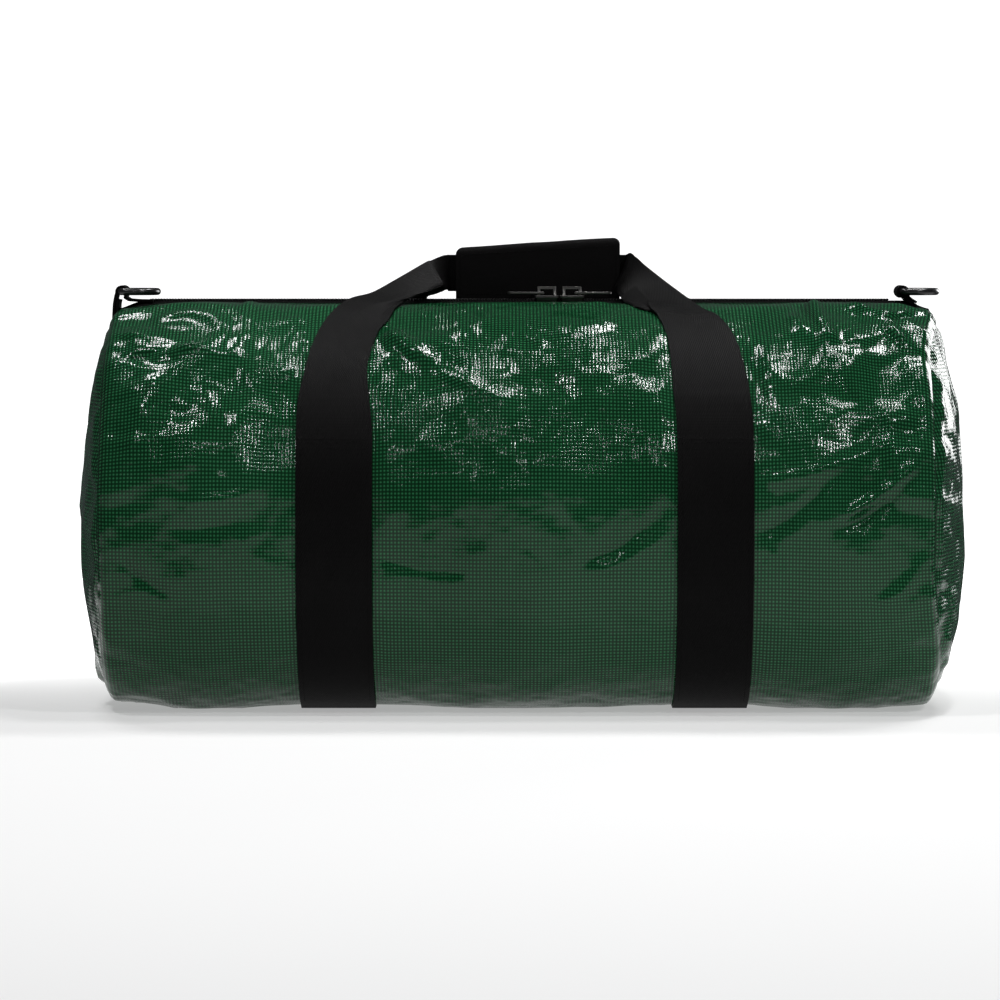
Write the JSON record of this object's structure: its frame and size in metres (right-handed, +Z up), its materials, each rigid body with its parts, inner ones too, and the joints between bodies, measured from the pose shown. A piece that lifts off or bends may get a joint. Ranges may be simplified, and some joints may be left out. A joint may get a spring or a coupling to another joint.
{
  "type": "rope storage bag",
  "caption": "Dark green coated-mesh duffel for storing rope, with a top zip, black webbing carry handles joined by a padded wrap, and a D-ring at each end.",
  "frame": {"origin": "on the floor under the middle of the bag", "axes": "+X along the bag to the right as seen from the front, +Y to the rear, +Z up"},
  "size_m": [0.61, 0.316, 0.3186],
  "materials": {
    "mesh_fabric": "glossy coated mesh",
    "zip_tape": "woven",
    "zip_coil": "satin",
    "slider_metal": "dark gunmetal",
    "webbing": "ribbed woven webbing",
    "wrap_fabric": "plain woven, padded",
    "hook_tape": "hook and loop pile",
    "ring_plastic": "smooth"
  },
  "bodies": {
    "bag": {"body_wrap": "mesh_fabric", "left_end_panel": "mesh_fabric", "right_end_panel": "mesh_fabric", "front_zip_tape": "zip_tape", "rear_zip_tape": "zip_tape", "front_zip_coil": "zip_coil", "rear_zip_coil": "zip_coil", "left_body_strap": "webbing", "right_body_strap": "webbing", "left_ring_tab": "webbing", "right_ring_tab": "webbing", "front_left_run": "webbing", "front_right_run": "webbing", "rear_left_run": "webbing", "rear_right_run": "webbing"},
    "handle": {"front_grip": "webbing", "rear_grip": "webbing", "wrap_back": "wrap_fabric", "hook_strip": "hook_tape"},
    "flap": {"wrap_flap": "wrap_fabric", "loop_strip": "hook_tape"},
    "left_slider_body": {"left_slider": "slider_metal"},
    "right_slider_body": {"right_slider": "slider_metal"},
    "left_pull_body": {"left_pull": "slider_metal"},
    "right_pull_body": {"right_pull": "slider_metal"},
    "left_ring_body": {"left_d_ring": "ring_plastic"},
    "right_ring_body": {"right_d_ring": "ring_plastic"}
  },
  "joints": [
    {"name": "handle_lift", "type": "slide", "parent": "bag", "child": "handle", "axis": [0, 0, 1], "range_m": [0, 0.03], "deforming": ["front_left_run", "front_right_run", "rear_left_run", "rear_right_run"]},
    {"name": "flap_open", "type": "hinge", "parent": "handle", "child": "flap", "pos_m": [0.01, 0.0292, 0.31515], "axis": [-1, 0, 0], "range_deg": [0, 150]},
    {"name": "left_slider_run", "type": "slide", "parent": "bag", "child": "left_slider_body", "axis": [-1, 0, 0], "range_m": [0, 0.235]},
    {"name": "right_slider_run", "type": "slide", "parent": "bag", "child": "right_slider_body", "axis": [1, 0, 0], "range_m": [0, 0.19]},
    {"name": "left_pull_turn", "type": "hinge", "parent": "left_slider_body", "child": "left_pull_body", "pos_m": [0.0136, 0, 0.2833], "axis": [0, 1, 0], "range_deg": [0, 105]},
    {"name": "right_pull_turn", "type": "hinge", "parent": "right_slider_body", "child": "right_pull_body", "pos_m": [0.0364, 0, 0.2833], "axis": [0, -1, 0], "range_deg": [0, 105]},
    {"name": "left_ring_turn", "type": "hinge", "parent": "bag", "child": "left_ring_body", "pos_m": [-0.28, 0, 0.2843], "axis": [0, -1, 0], "range_deg": [0, 165]},
    {"name": "right_ring_turn", "type": "hinge", "parent": "bag", "child": "right_ring_body", "pos_m": [0.264, 0, 0.2843], "axis": [0, -1, 0], "range_deg": [0, 120]}
  ]
}
